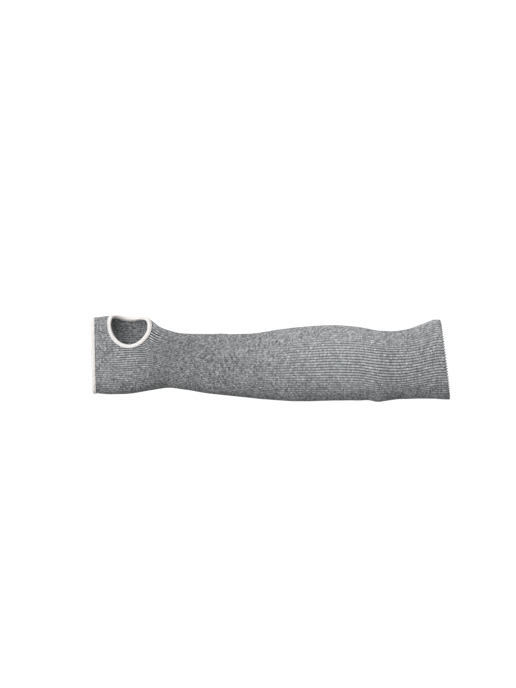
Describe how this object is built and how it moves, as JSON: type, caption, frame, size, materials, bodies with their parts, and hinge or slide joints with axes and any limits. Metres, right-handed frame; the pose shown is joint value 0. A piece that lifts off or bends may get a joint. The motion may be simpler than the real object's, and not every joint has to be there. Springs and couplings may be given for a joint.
{
  "type": "cut resistant sleeve",
  "caption": "Knitted tubular cut resistant sleeve in its worn shape, ribbed along its length and open at both ends, with an overlocked hand opening and thumb hole.",
  "frame": {"origin": "middle of the sleeve at its narrowest place, the wrist", "axes": "+X along the sleeve from the hand opening to the wide mouth, +Z towards the side with the thumb hole, -Y towards the palm side"},
  "size_m": [0.4074, 0.0812, 0.099],
  "materials": {
    "knit": "matt grey marled rib knit",
    "overlock_thread": "matt white textured thread"
  },
  "bodies": {
    "root": {"knit_tube": "knit", "hand_edge_overlock": "overlock_thread", "thumb_hole_overlock": "overlock_thread"}
  },
  "joints": []
}
